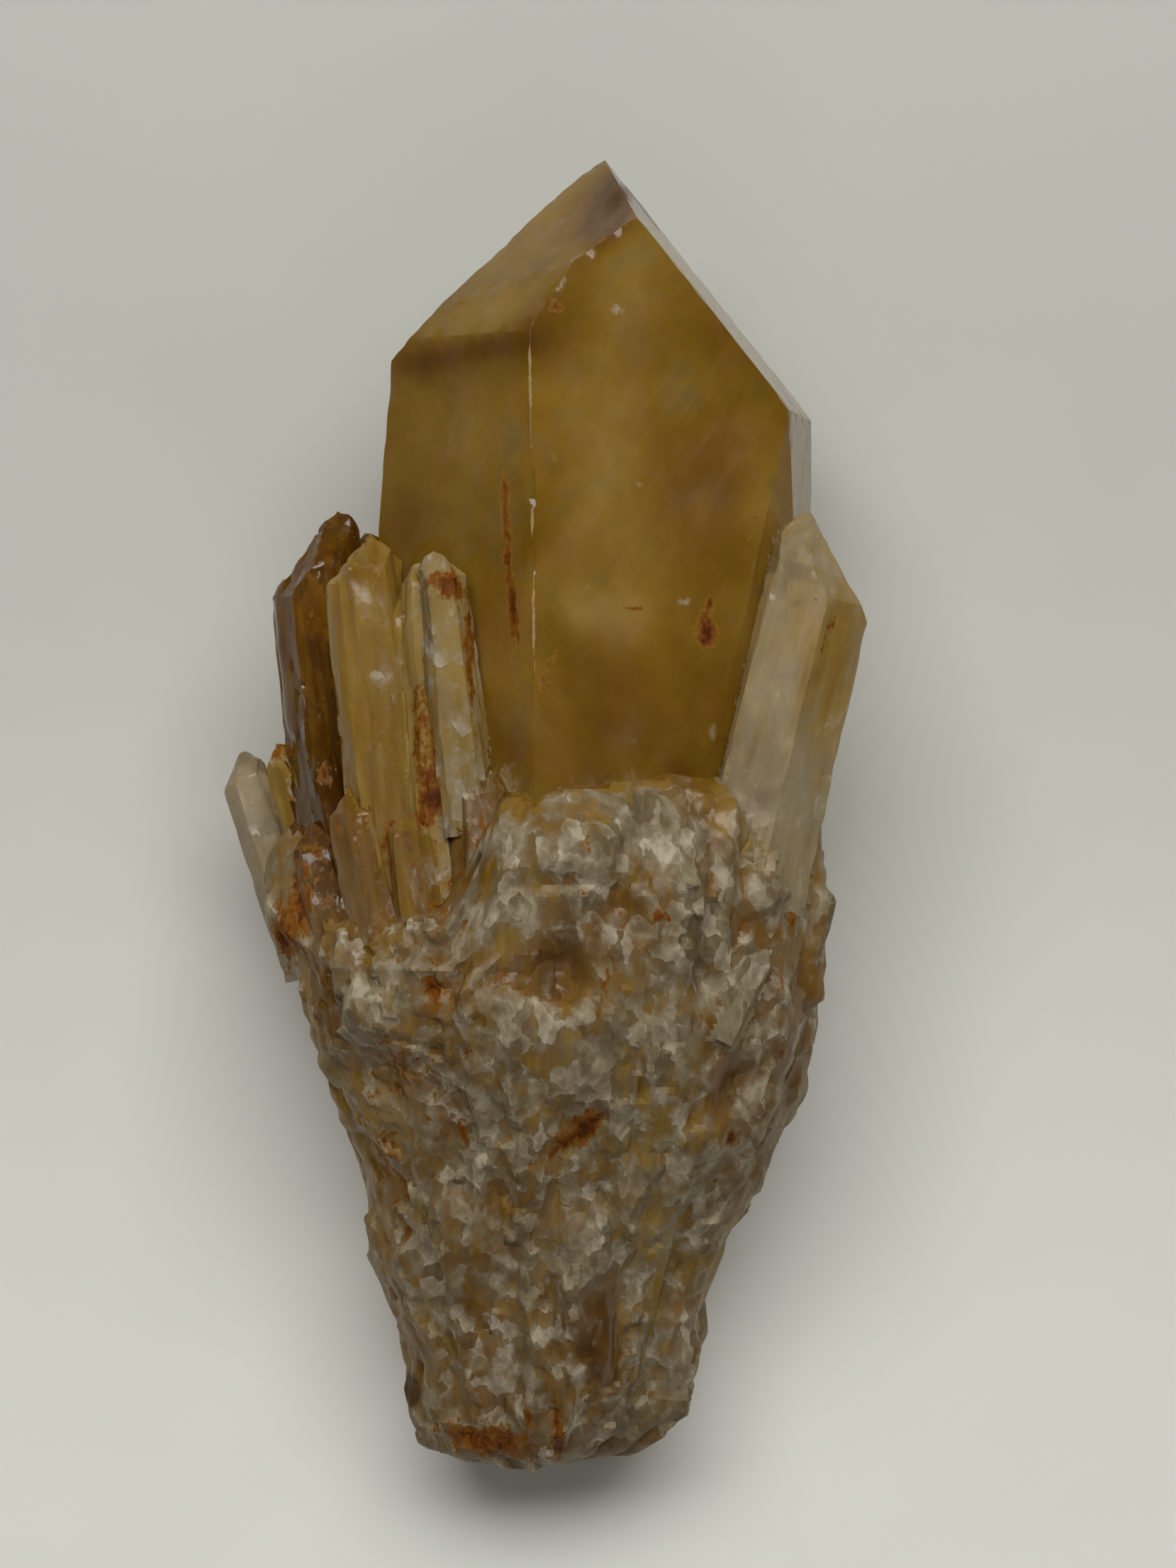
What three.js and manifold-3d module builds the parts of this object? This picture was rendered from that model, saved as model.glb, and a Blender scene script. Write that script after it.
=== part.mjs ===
// A natural citrine specimen: one large honey-coloured quartz point, thinner points
// grown side by side around it, and the milky root from which they all spread.
// It lies on its back, points towards +Y, on small worn flats at z = 0.
// Millimetres, +Z up, origin at the middle of the underside.
import * as THREE from "three";
import { ConvexGeometry } from "three/addons/geometries/ConvexGeometry.js";
import { mergeVertices } from "three/addons/utils/BufferGeometryUtils.js";
import Module from "manifold-3d";

// Quartz: prism faces stand 60 degrees apart, and the faces of the point lean
// 38.2 degrees from the long axis, so their normals lean 51.8 degrees from it.
const PRISM_STEP_DEG = 60;
const POINT_LEAN_DEG = 51.8;

// The large point's axis, and its corners on the upper side. A narrow band runs under
// its left end face, between that face and the wide left prism face.
const MAIN_FOOT = [0, -30, 15.5];
const MAIN_TIP = [0, 46, 18.5];
const MAIN_MIDDLE = new THREE.Vector3(0.6, 10, 16);
const MAIN_FOOT_Y = -18;
const MAIN_CORNERS = {
  apex: [1.35, 46.4, 20.0],
  apexUnworn: [1.35, 47.3, 20.0],
  crest: [3.5, 41.0, 28.8],
  rightShoulder: [14.8, 27.5, 24.2],
  bandTop: [-1.1, 37.5, 30.35],
  bandLeft: [-11.3, 34.8, 23.9],
  bandFoot: [-4.2, 32.5, 31.3],
  bandEnd: [-13.4, 32.7, 23.6],
  leftShoulder: [-14.5, 31.2, 22.6],
  leftLow: [-15.5, 19.7, 21.1],
  leftUnder: [-14.3, 25, 15],
  ridgeFoot: [-3.9, 8.6, 30.3],
};
// Its right and lower faces: [azimuth, lean of the normal from the axis, a place on it]
const MAIN_LOWER_FACES = [
  [12, 90, MAIN_CORNERS.rightShoulder],
  [40, 96.5, MAIN_CORNERS.rightShoulder],
  [250, 90, [-3.5, 20, 5.0]],
  [310, 90, [10, 20, 7.6]],
  [245, 50, [1.2, 47.2, 19.6]],
  [310, POINT_LEAN_DEG, [8.5, 32, 9.5]],
];

// The small worn face at the apex, in the same form
const MAIN_WORN_APEX = [155, 31, new THREE.Vector3(0.96, 46.3, 20.0)];

// The smaller points: [foot, tip, size, more]. `size` is the distance from axis to prism
// face and `turn` the azimuth of one of them, `flat` squashes the crystal front to back,
// `aside` moves the tip off the axis, `uneven` sets how much three of the six end faces
// crowd out the others, and `blunt` cuts the tip off by that much.
const SMALL_CRYSTALS = [
  // The sheaf on the left, from the outer edge inwards
  [[-21.0, -14.5, 12.5], [-27.0, 2.8, 13.2], 1.85, { turn: 22, aside: 0.5, uneven: 0.4, blunt: 0.5 }],
  [[-18.4, -12.0, 15.5], [-23.2, 3.6, 18.2], 1.9, { turn: -5, aside: -0.4, uneven: 0.4 }],
  [[-16.8, -14.0, 17.2], [-20.8, 20.7, 20.4], 3.6, { turn: 30, aside: 2.1, uneven: 0.3, blunt: 0.4 }],
  [[-14.0, -14.0, 16.5], [-16.6, 19.6, 18.9], 2.9, { turn: 12, uneven: 0.5, blunt: 0.9 }],
  [[-18.2, -14.0, 10.5], [-20.6, 12.6, 13.8], 2.9, { turn: 12, uneven: 0.3 }],
  [[-17.0, -12.0, 21.0], [-20.9, 9.0, 21.3], 1.6, { turn: 25, uneven: 0.2, blunt: 0.3 }],
  [
    [-13.3, -14.0, 24.0],
    [-16.9, 19.0, 25.2],
    3.5,
    { turn: 30, flat: 0.68, aside: 0.9, uneven: 0.5, blunt: 0.3 },
  ],
  [
    [-11.6, -15.0, 24.0],
    [-14.2, 15.8, 24.9],
    4.9,
    { turn: 30, flat: 0.52, uneven: 0.4, blunt: 1.2 },
  ],
  [[-10.8, -12.0, 26.0], [-12.3, 16.4, 27.0], 1.7, { turn: 22, uneven: 0.3 }],
  [[-8.7, -3.6, 26.7], [-10.9, 17.5, 28.2], 2.0, { turn: 30, aside: -0.3, uneven: 0.5, blunt: 0.3 }],
  [[-14.3, -16.0, 25.9], [-17.6, 0.2, 25.2], 1.9, { turn: 15, uneven: 0.4, blunt: 0.5 }],
  [[-11.3, -16.0, 27.2], [-13.2, -1.2, 26.9], 1.8, { turn: 40, uneven: 0.2, blunt: 0.8 }],
  [[-6.6, -17.0, 28.0], [-7.9, 2.2, 26.8], 2.5, { turn: 28, uneven: 0.4, blunt: 0.8 }],
  [[-4.4, -17.0, 27.6], [-4.9, 0.2, 28.3], 2.3, { turn: 10, uneven: 0.3, blunt: 0.8 }],
  [[-17.0, -18.0, 23.0], [-20.6, -2.4, 21.8], 2.0, { turn: 33, uneven: 0.4, blunt: 0.4 }],
  [[-15.4, -18.0, 8.0], [-19.8, 6.5, 8.6], 3.0, { turn: 0, uneven: 0.5 }],
  [[-11.0, -18.0, 5.6], [-14.4, 12.5, 6.0], 3.5, { turn: 6, uneven: 0.4 }],
  // The stout one on the right with its companions
  [[11.4, -8.0, 22.2], [18.1, 20.0, 23.9], 4.0, { turn: 50, aside: -1.8, uneven: 0.15 }],
  [[12.0, -8.0, 15.0], [16.2, 12.0, 17.4], 2.6, { turn: 25, uneven: 0.3 }],
  [[9.2, -14.0, 9.4], [14.2, 13.0, 10.8], 3.5, { turn: 0, uneven: 0.5 }],
  [[8.8, -15.0, 22.6], [11.6, -1.6, 26.2], 2.2, { turn: 20, uneven: 0.4, blunt: 0.8 }],
  [[8.4, -20.0, 3.8], [11.6, 8.6, 3.2], 3.3, { turn: 30, uneven: 0.4 }],
  // Underneath
  [[-6.0, -20.0, 4.0], [-7.4, 17.2, 3.4], 3.9, { turn: 30, uneven: 0.5 }],
  [[2.0, -20.0, 3.8], [1.2, 20.8, 2.9], 3.5, { turn: 30, uneven: 0.4 }],
  [[6.0, -20.0, 3.4], [7.4, 13.4, 2.8], 3.2, { turn: 30, uneven: 0.6 }],
  // Stubs that break through the root, and the flake and glassy splinter on its right
  [[-3.0, -16.0, 25.0], [-1.4, -0.4, 30.0], 2.3, { turn: 10, uneven: 0.3, blunt: 1.0 }],
  [[3.2, -16.0, 25.0], [4.6, 0.4, 29.4], 2.4, { turn: 38, uneven: 0.5, blunt: 1.2 }],
  [[9.6, -18.6, 27.6], [13.0, -11.8, 27.6], 1.0, { turn: 15, uneven: 0.3 }],
  [[14.3, -19.5, 13.4], [17.6, -6.3, 14.6], 1.7, { turn: 40, uneven: 0.4, blunt: 0.8 }],
  [[-4.0, -44.0, 12.0], [-3.0, -22.0, 25.6], 2.6, { turn: 20, uneven: 0.2, blunt: 1.0 }],
  [[0.5, -47.0, 11.0], [6.8, -22.0, 24.4], 2.6, { turn: 5, uneven: 0.3, blunt: 1.4 }],
  [[-8.0, -46.0, 11.0], [-12.6, -20.0, 22.6], 2.8, { turn: 28, uneven: 0.3, blunt: 1.4 }],
  [[-9.0, -47.0, 8.0], [-17.0, -21.0, 15.6], 2.8, { turn: 10, uneven: 0.4, blunt: 1.0 }],
  [[3.0, -46.0, 8.5], [11.2, -25.0, 16.6], 2.9, { turn: 33, uneven: 0.4, blunt: 1.2 }],
  [[-7.0, -46.0, 6.0], [-13.0, -22.0, 5.4], 3.4, { turn: 30, uneven: 0.2, blunt: 1.0 }],
  [[0.0, -46.0, 6.0], [5.0, -22.0, 4.6], 3.4, { turn: 30, uneven: 0.3, blunt: 1.2 }],
];
const CRYSTAL_TAPER_DEG = 1.2;
const FOOT_SWELL = 1.06;
// The cut across a blunt tip: how far its azimuth is from `turn`, and its lean
const BLUNT_TURN_DEG = 75;
const BLUNT_LEAN_DEG = 16;

// The root's outline seen from above and from the side:
// [y, left x, right x, underside z, top z]
const ROOT_OUTLINE = [
  [-52.2, -9.0, 2.2, 4.0, 12.5],
  [-51.2, -12.3, 4.2, 1.6, 14.5],
  [-48.5, -13.4, 7.0, 0.4, 16.6],
  [-44.5, -13.5, 8.0, 0.0, 18.0],
  [-39.0, -15.3, 9.2, 0.0, 20.2],
  [-34.0, -16.4, 10.9, 0.3, 22.6],
  [-28.0, -17.5, 14.0, 0.4, 25.6],
  [-23.0, -19.5, 16.3, 0.2, 28.4],
  [-18.0, -20.6, 17.2, 0.0, 30.6],
  [-12.0, -22.4, 17.2, -0.2, 32.4],
  [-8.0, -23.0, 17.5, -0.2, 33.2],
  [-3.5, -21.6, 17.4, 0.0, 32.0],
  [-1.0, -20.0, 16.8, 1.5, 30.2],
  [1.6, -13.0, 13.5, 6.0, 25.0],
];
const ROOT_START_Y = ROOT_OUTLINE[0][0];
const ROOT_END_Y = ROOT_OUTLINE.at(-1)[0];
const ROOT_RINGS = 46;
const ROOT_SIDES = 58;
const ROOT_SQUARENESS = 2.3;
const ROOT_END_DOME = 0.7;
const ROOT_END_CHIPS = 0.6;

// Left of this x the root ends lower on its upper side, where the sheaf begins
const SHEAF_X = -8.3;
const SHEAF_EDGE = 4;
const SHEAF_DROP = 9;
const SHEAF_FROM_Y = -22;
const SHEAF_FROM_Z = 19;
const SHEAF_FADE_Z = 6;

// How far the root's upper end runs in and out, and how wide one tongue of it is
const ROOT_END_WAVE = { height: 2.6, width: 4.5, fromY: -16 };

// Relief of the root: how high it is, and how wide and long one column, broken face
// or lump is
const FAN_RADIUS = 14;
const COLUMN = { depth: 0.8, width: 3.4, length: 22 };
const BROKEN = { depth: 0.65, width: 4.6, length: 8.5, tilt: 1.4, crispness: 13 };
const LUMP = { depth: 0.7, width: 5.3, length: 7.5 };

// Hollows (rise below 0) and lumps of the root: [x, y, z, half width, half length, rise]
const ROOT_PLACES = [
  [-2.2, -14.0, 32, 2.8, 2.8, -1.9],
  [-10.5, -10.0, 31, 3.0, 3.5, -1.0],
  [9.5, -14.5, 30, 2.4, 3.0, -1.2],
  [-1.0, -25.0, 28, 1.6, 2.4, -1.3],
  [2.0, -38.0, 21, 2.2, 5.0, -0.9],
  [13.2, -8.0, 28, 1.8, 2.0, 1.3],
  [1.5, -6.0, 33, 4.0, 3.0, 0.9],
  [-8.0, -20.0, 29, 3.5, 3.5, 0.8],
  [5.0, -20.5, 29, 2.5, 6.0, 0.7],
];

// How much is worn off underneath, so that it lies on flats
const REST_CUT = 0.35;

const radians = (deg) => (deg * Math.PI) / 180;
const lerp = (a, b, t) => a + (b - a) * t;
const unit = (t) => Math.min(1, Math.max(0, t));

// A repeatable number from 0 to 1 for a point of the lattice
function latticeValue(i, j, k) {
  const s = Math.sin(i * 127.1 + j * 311.7 + k * 74.7) * 43758.5453;
  return s - Math.floor(s);
}

// Smooth noise from -1 to 1
function noise(x, y, z) {
  const cell = [x, y, z].map(Math.floor);
  const [u, v, w] = [x, y, z].map((a, n) => {
    const t = a - cell[n];
    return t * t * (3 - 2 * t);
  });
  const at = (i, j, k) => latticeValue(cell[0] + i, cell[1] + j, cell[2] + k);
  const row = (j, k) => lerp(at(0, j, k), at(1, j, k), u);
  return 2 * lerp(lerp(row(0, 0), row(1, 0), v), lerp(row(0, 1), row(1, 1), v), w) - 1;
}

// The directions square to the axis from foot to tip, by azimuth: 0 points to +X and 90
// to +Z where the axis runs along +Y
function axisFrame(foot, tip) {
  const axis = new THREE.Vector3().subVectors(tip, foot).normalize();
  const side = new THREE.Vector3(1, 0, 0).addScaledVector(axis, -axis.x).normalize();
  const up = new THREE.Vector3().crossVectors(side, axis).normalize();
  const around = (azimuth) =>
    new THREE.Vector3()
      .addScaledVector(side, Math.cos(radians(azimuth)))
      .addScaledVector(up, Math.sin(radians(azimuth)));
  return { axis, around };
}

// A plane through `place` with its normal leaning `lean` degrees from the axis
function leaningPlane(frame, azimuth, lean, place) {
  const normal = frame
    .around(azimuth)
    .multiplyScalar(Math.sin(radians(lean)))
    .addScaledVector(frame.axis, Math.cos(radians(lean)));
  return { normal, distance: normal.dot(place) };
}

// The plane through three places, facing away from the middle of the large point
function planeThrough(...places) {
  const [a, b, c] = places.map((place) => new THREE.Vector3(...place));
  const normal = new THREE.Vector3().crossVectors(b.clone().sub(a), c.clone().sub(a));
  normal.normalize();
  if (normal.dot(a.clone().sub(MAIN_MIDDLE)) < 0) normal.negate();
  return { normal, distance: normal.dot(a) };
}

// The place where three planes meet, or null where they are nearly parallel
function meetingPlace(a, b, c) {
  const rows = [a, b, c].flatMap((plane) => plane.normal.toArray());
  const matrix = new THREE.Matrix3().set(...rows);
  if (Math.abs(matrix.determinant()) < 1e-5) return null;
  return new THREE.Vector3(a.distance, b.distance, c.distance).applyMatrix3(matrix.invert());
}

// The convex solid inside a set of planes { normal, distance }
function solidInside(planes) {
  const SLACK = 1e-4;
  const corners = [];
  for (let a = 0; a < planes.length; a++)
    for (let b = a + 1; b < planes.length; b++)
      for (let c = b + 1; c < planes.length; c++) {
        const corner = meetingPlace(planes[a], planes[b], planes[c]);
        if (!corner) continue;
        const inside = planes.every((p) => p.normal.dot(corner) < p.distance + SLACK);
        const known = corners.some((q) => q.distanceTo(corner) < 10 * SLACK);
        if (inside && !known) corners.push(corner);
      }
  return new ConvexGeometry(corners);
}

function mainCrystal() {
  const frame = axisFrame(new THREE.Vector3(...MAIN_FOOT), new THREE.Vector3(...MAIN_TIP));
  const { apex, apexUnworn, crest, bandTop, bandFoot, bandEnd, bandLeft } = MAIN_CORNERS;
  const { leftShoulder, leftLow, leftUnder, rightShoulder, ridgeFoot } = MAIN_CORNERS;
  const lower = MAIN_LOWER_FACES.map(([azimuth, lean, place]) =>
    leaningPlane(frame, azimuth, lean, new THREE.Vector3(...place)),
  );
  return solidInside([
    planeThrough(crest, rightShoulder, ridgeFoot),
    planeThrough(bandFoot, ridgeFoot, bandEnd),
    planeThrough(leftShoulder, leftLow, leftUnder),
    planeThrough(apex, crest, bandTop),
    planeThrough(apexUnworn, bandTop, bandLeft),
    planeThrough(bandFoot, bandTop, bandEnd),
    planeThrough(apexUnworn, bandLeft, leftShoulder),
    planeThrough(apex, crest, rightShoulder),
    leaningPlane(frame, ...MAIN_WORN_APEX),
    ...lower,
    { normal: frame.axis.clone().negate(), distance: -MAIN_FOOT_Y },
  ]);
}

function smallCrystal([foot, tip, size, { turn, flat = 1, aside = 0, uneven, blunt = 0 }]) {
  const from = new THREE.Vector3(...foot);
  const to = new THREE.Vector3(...tip);
  const frame = axisFrame(from, to);
  to.addScaledVector(frame.around(0), aside);
  const planes = [{ normal: frame.axis.clone().negate(), distance: -frame.axis.dot(from) }];
  if (blunt) {
    const cut = to.clone().addScaledVector(frame.axis, -blunt);
    planes.push(leaningPlane(frame, turn + BLUNT_TURN_DEG, BLUNT_LEAN_DEG, cut));
  }
  for (let k = 0; k < 6; k++) {
    const azimuth = turn + k * PRISM_STEP_DEG;
    const squash = 1 - (1 - flat) * Math.abs(Math.sin(radians(azimuth)));
    const wall = from.clone().addScaledVector(frame.around(azimuth), size * squash * FOOT_SWELL);
    planes.push(leaningPlane(frame, azimuth, 90 - CRYSTAL_TAPER_DEG, wall));
    // Every second end face is set lower, so that three of them meet in the tip
    const drop = k % 2 ? (uneven * size) / 2 : 0;
    const top = to.clone().addScaledVector(frame.axis, -drop);
    planes.push(leaningPlane(frame, azimuth, POINT_LEAN_DEG, top));
  }
  return solidInside(planes);
}

// The outline's values at height y, on straight lines between its rows
function rootOutline(y) {
  const n = ROOT_OUTLINE.findIndex((row) => row[0] >= y);
  if (n === 0) return ROOT_OUTLINE[0].slice(1);
  if (n < 0) return ROOT_OUTLINE.at(-1).slice(1);
  const [low, high] = [ROOT_OUTLINE[n - 1], ROOT_OUTLINE[n]];
  const t = (y - low[0]) / (high[0] - low[0]);
  return low.slice(1).map((value, i) => lerp(value, high[i + 1], t));
}

// Broken faces: the space is parted into cells, and each cell gives the surface a flat
// of its own height and tilt, with a narrow slope to the next
function brokenFaces(x, y, z) {
  const cell = [x, y, z].map(Math.floor);
  let sum = 0;
  let weights = 0;
  for (let i = -1; i <= 1; i++)
    for (let j = -1; j <= 1; j++)
      for (let k = -1; k <= 1; k++) {
        const [a, b, c] = [cell[0] + i, cell[1] + j, cell[2] + k];
        const dx = x - a - latticeValue(a, b, c);
        const dy = y - b - latticeValue(b + 9, c, a);
        const dz = z - c - latticeValue(c, a + 5, b);
        const weight = Math.exp(-BROKEN.crispness * (dx * dx + dy * dy + dz * dz));
        const signed = (n) => 2 * latticeValue(a + n, b, c + n) - 1;
        const slope = signed(7) * dx + signed(13) * dy + signed(17) * dz;
        sum += weight * (signed(3) + BROKEN.tilt * slope);
        weights += weight;
      }
  return sum / weights;
}

// Relief of the root: columns that run along it, broken faces, lumps, and the hollows
// and lumps that have a place of their own
function rootRelief(x, y, z, angle) {
  const c = FAN_RADIUS * Math.cos(angle);
  const s = FAN_RADIUS * Math.sin(angle);
  const groove = noise(c / COLUMN.width + 7, y / COLUMN.length + 3, s / COLUMN.width + 5);
  const broken = brokenFaces(c / BROKEN.width, y / BROKEN.length, s / BROKEN.width);
  const lump = noise(x / LUMP.width + 11, y / LUMP.length, z / LUMP.width);
  let rise = COLUMN.depth * (0.55 - 2 * Math.abs(groove));
  rise += BROKEN.depth * broken + LUMP.depth * lump;
  for (const [px, py, pz, wide, long, height] of ROOT_PLACES) {
    const far = ((x - px) ** 2 + (z - pz) ** 2) / wide ** 2 + ((y - py) / long) ** 2;
    rise += height * Math.exp(-far);
  }
  return rise;
}

// How much lower the root lies at a place in front of the sheaf
function sheafDrop(x, y, z) {
  const across = unit((SHEAF_X - x) / SHEAF_EDGE + 0.5);
  const along = Math.max(0, (y - SHEAF_FROM_Y) / (ROOT_END_Y - SHEAF_FROM_Y));
  return SHEAF_DROP * across * along * unit((z - SHEAF_FROM_Z) / SHEAF_FADE_Z);
}

// How far the root's end runs out at this angle
function endWave(y, angle) {
  const { height, width, fromY } = ROOT_END_WAVE;
  const [c, s] = [Math.cos(angle), Math.sin(angle)].map((v) => (v * FAN_RADIUS) / width);
  const along = Math.max(0, (y - fromY) / (ROOT_END_Y - fromY));
  return height * along * along * noise(c + 2, 1.5, s + 8);
}

// One ring of the root's surface: a rounded box around the outline, with the relief
function rootRing(y, isFirst) {
  const [left, right, under, top] = rootOutline(y);
  const places = [];
  for (let j = 0; j < ROOT_SIDES; j++) {
    const angle = (2 * Math.PI * j) / ROOT_SIDES;
    const [c, s] = [Math.cos(angle), Math.sin(angle)];
    const [boxC, boxS] = [c, s].map((v) => Math.sign(v) * Math.abs(v) ** (2 / ROOT_SQUARENESS));
    const x = (left + right) / 2 + ((right - left) / 2) * boxC;
    const z = (under + top) / 2 + ((top - under) / 2) * boxS;
    const rise = rootRelief(x, y, z, angle);
    const chip = isFirst ? ROOT_END_CHIPS * noise(x / 2.5, 4.1, z / 2.5) : 0;
    const along = y - sheafDrop(x, y, z) + endWave(y, angle) + chip;
    places.push(x + rise * c, along, z + rise * s);
  }
  return places;
}

function rootGeometry() {
  const places = [];
  const triangles = [];
  const corner = (ring, j) => ring * ROOT_SIDES + (j % ROOT_SIDES);
  for (let ring = 0; ring <= ROOT_RINGS; ring++)
    places.push(...rootRing(lerp(ROOT_START_Y, ROOT_END_Y, ring / ROOT_RINGS), ring === 0));
  for (let ring = 0; ring < ROOT_RINGS; ring++)
    for (let j = 0; j < ROOT_SIDES; j++) {
      const [a, b] = [corner(ring, j), corner(ring, j + 1)];
      triangles.push(a, a + ROOT_SIDES, b, b, a + ROOT_SIDES, b + ROOT_SIDES);
    }
  // Both ends close on a point in their middle
  for (const [ring, endY, way] of [[0, ROOT_START_Y, -1], [ROOT_RINGS, ROOT_END_Y, 1]]) {
    const [left, right, under, top] = rootOutline(endY);
    const middle = places.length / 3;
    places.push((left + right) / 2, endY + way * ROOT_END_DOME, (under + top) / 2);
    for (let j = 0; j < ROOT_SIDES; j++) {
      const pair = [corner(ring, j), corner(ring, j + 1)];
      triangles.push(middle, ...(way < 0 ? pair : pair.reverse()));
    }
  }
  return new THREE.BufferGeometry()
    .setAttribute("position", new THREE.Float32BufferAttribute(places, 3))
    .setIndex(triangles);
}

const wasm = await Module();
wasm.setup();

function toSolid(geometry) {
  const bare = new THREE.BufferGeometry();
  bare.setAttribute("position", geometry.getAttribute("position"));
  bare.setIndex(geometry.index);
  const merged = mergeVertices(bare, 1e-4);
  const mesh = new wasm.Mesh({
    numProp: 3,
    vertProperties: new Float32Array(merged.attributes.position.array),
    triVerts: new Uint32Array(merged.index.array),
  });
  return new wasm.Manifold(mesh);
}

function toGeometry(solid) {
  const mesh = solid.getMesh();
  const places = new Float32Array(mesh.numVert * 3);
  for (let i = 0; i < mesh.numVert; i++) {
    const start = i * mesh.numProp;
    places.set(mesh.vertProperties.subarray(start, start + 3), i * 3);
  }
  return new THREE.BufferGeometry()
    .setAttribute("position", new THREE.BufferAttribute(places, 3))
    .setIndex(new THREE.BufferAttribute(mesh.triVerts, 1));
}

// Everything grew together, so it is all one solid, worn flat where it rests
function clusterGeometry() {
  const crystals = [mainCrystal(), ...SMALL_CRYSTALS.map(smallCrystal)].map(toSolid);
  const grown = crystals.reduce((whole, crystal) => whole.add(crystal), toSolid(rootGeometry()));
  const aboveTable = new THREE.BoxGeometry(200, 200, 100).translate(0, 0, 50 + REST_CUT);
  const geometry = toGeometry(grown.intersect(toSolid(aboveTable)));
  geometry.computeBoundingBox();
  const { min, max } = geometry.boundingBox;
  return geometry.translate(-(min.x + max.x) / 2, -(min.y + max.y) / 2, -REST_CUT);
}

const cluster = new THREE.Mesh(
  clusterGeometry(),
  new THREE.MeshStandardMaterial({ color: 0xa07a34, roughness: 0.35, metalness: 0 }),
);
cluster.name = "citrine_cluster";

const specimen = new THREE.Group();
specimen.add(cluster);

export default specimen;
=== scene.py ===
# The looks of a natural citrine specimen that lies on its back on a pale surface,
# seen from straight above: a large honey-coloured point, thinner points around it,
# and the milky, rust-stained root from which they all spread.
import itertools
import math

import bmesh
import bpy
import numpy as np
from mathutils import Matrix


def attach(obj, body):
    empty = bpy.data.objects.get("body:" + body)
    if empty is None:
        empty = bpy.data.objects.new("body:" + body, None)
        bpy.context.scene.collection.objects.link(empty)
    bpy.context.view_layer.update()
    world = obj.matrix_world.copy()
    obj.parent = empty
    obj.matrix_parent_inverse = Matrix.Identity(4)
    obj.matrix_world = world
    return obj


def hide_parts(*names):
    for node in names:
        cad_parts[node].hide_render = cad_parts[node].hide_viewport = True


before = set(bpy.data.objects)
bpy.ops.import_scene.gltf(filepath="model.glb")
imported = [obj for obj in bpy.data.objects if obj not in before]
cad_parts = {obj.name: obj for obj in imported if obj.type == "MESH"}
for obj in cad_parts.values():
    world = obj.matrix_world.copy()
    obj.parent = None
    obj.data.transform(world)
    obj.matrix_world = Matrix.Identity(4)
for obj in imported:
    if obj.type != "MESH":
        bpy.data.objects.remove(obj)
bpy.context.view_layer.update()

MM = 0.001

# The places below are millimetres from the middle of the specimen as it grew. This moves
# them to the frame, whose origin is the middle of the underside.
GROWN_TO_FRAME = np.array([3.694, 3.130, -0.35])
REST_CUT = 0.35

# Quartz: prism faces stand 60 degrees apart, and the faces of the point lean
# 38.2 degrees from the long axis, so their normals lean 51.8 degrees from it.
PRISM_STEP_DEG = 60
POINT_LEAN_DEG = 51.8

# The large point's axis, and its corners on the upper side
MAIN_FOOT = (0, -30, 15.5)
MAIN_TIP = (0, 46, 18.5)
MAIN_MIDDLE = (0.6, 10, 16)
MAIN_FOOT_Y = -18
MAIN_CORNERS = {
    "apex": (1.35, 46.4, 20.0),
    "apex_unworn": (1.35, 47.3, 20.0),
    "crest": (3.5, 41.0, 28.8),
    "right_shoulder": (14.8, 27.5, 24.2),
    "band_top": (-1.1, 37.5, 30.35),
    "band_left": (-11.3, 34.8, 23.9),
    "band_foot": (-4.2, 32.5, 31.3),
    "band_end": (-13.4, 32.7, 23.6),
    "left_shoulder": (-14.5, 31.2, 22.6),
    "left_low": (-15.5, 19.7, 21.1),
    "left_under": (-14.3, 25, 15),
    "ridge_foot": (-3.9, 8.6, 30.3),
}
MAIN_UPPER_FACES = (
    ("crest", "right_shoulder", "ridge_foot"),
    ("band_foot", "ridge_foot", "band_end"),
    ("left_shoulder", "left_low", "left_under"),
    ("apex", "crest", "band_top"),
    ("apex_unworn", "band_top", "band_left"),
    ("band_foot", "band_top", "band_end"),
    ("apex_unworn", "band_left", "left_shoulder"),
    ("apex", "crest", "right_shoulder"),
)
# Its right and lower faces: (azimuth, lean of the normal from the axis, a place on it)
MAIN_LOWER_FACES = (
    (12, 90, MAIN_CORNERS["right_shoulder"]),
    (40, 96.5, MAIN_CORNERS["right_shoulder"]),
    (250, 90, (-3.5, 20, 5.0)),
    (310, 90, (10, 20, 7.6)),
    (245, 50, (1.2, 47.2, 19.6)),
    (310, POINT_LEAN_DEG, (8.5, 32, 9.5)),
)
# The small worn face at the apex, in the same form
MAIN_WORN_APEX = (155, 31, (0.96, 46.3, 20.0))

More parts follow.
